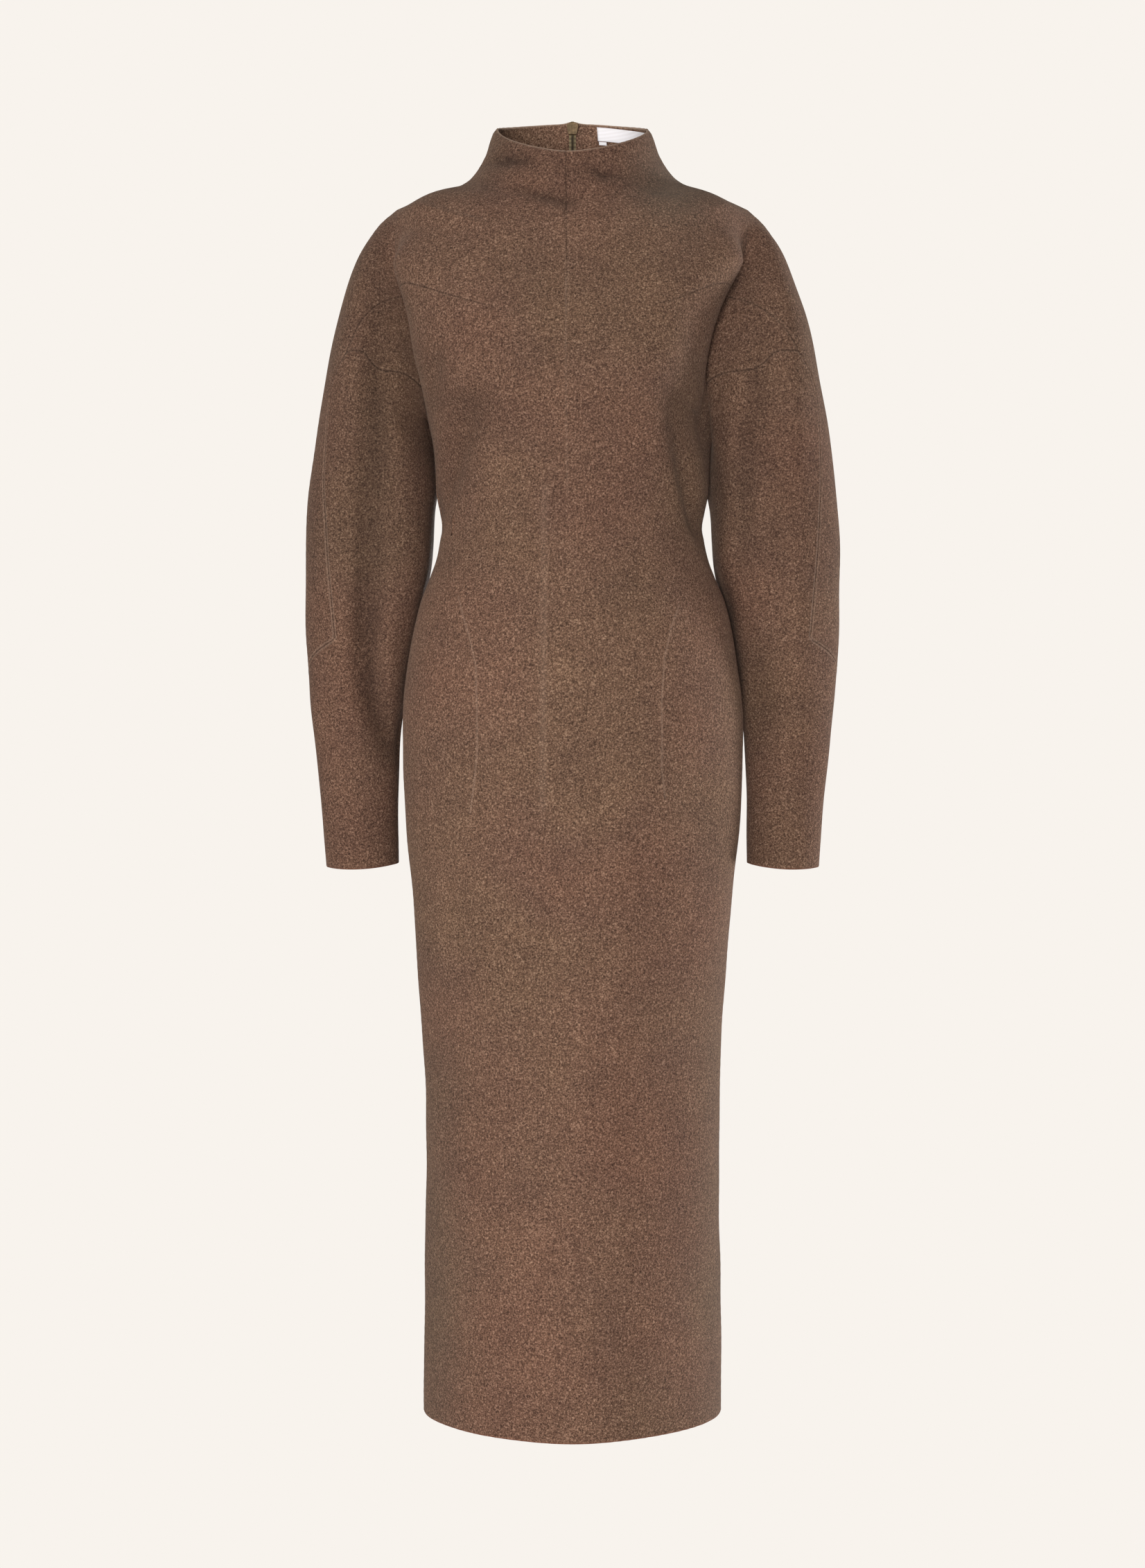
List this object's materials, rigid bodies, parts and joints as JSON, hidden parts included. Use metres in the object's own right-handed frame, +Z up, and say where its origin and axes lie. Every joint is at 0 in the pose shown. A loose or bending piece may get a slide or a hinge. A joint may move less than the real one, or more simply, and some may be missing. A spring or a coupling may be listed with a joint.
{
  "type": "sweater dress",
  "caption": "Long-sleeved midi sweater dress of felted wool knit with a funnel collar and a back zip, filled out as worn.",
  "frame": {"origin": "middle of the shoulders, level with the points where the shoulder lines meet the neck, where the wearer holds it up", "axes": "+Z up, -Y to the wearer's front, +X to the wearer's left"},
  "size_m": [0.5456, 0.255, 1.3186],
  "materials": {
    "wool_knit": "matte brown melange felted wool with a short nap",
    "zip_tape": "woven olive-brown tape",
    "zip_metal": "satin olive-bronze lacquer",
    "label_cloth": "white satin-woven, bare"
  },
  "bodies": {
    "root": {"upper_front_left": "wool_knit", "upper_front_right": "wool_knit", "upper_back_left": "wool_knit", "upper_back_right": "wool_knit", "front_body": "wool_knit", "back_body_left": "wool_knit", "back_body_right": "wool_knit", "under_sleeve_left": "wool_knit", "under_sleeve_right": "wool_knit", "zip_tape_left": "zip_tape", "zip_tape_right": "zip_tape", "zip_stop": "zip_metal", "zip_slider": "zip_metal", "neck_label": "label_cloth", "small_label": "label_cloth"},
    "pull_tab": {"zip_pull_tab": "zip_metal"}
  },
  "joints": [
    {"name": "pull_tab_hinge", "type": "hinge", "parent": "root", "child": "pull_tab", "pos_m": [0, 0.0646, 0.0768], "axis": [1, 0, 0], "range_deg": [0, 160]}
  ]
}
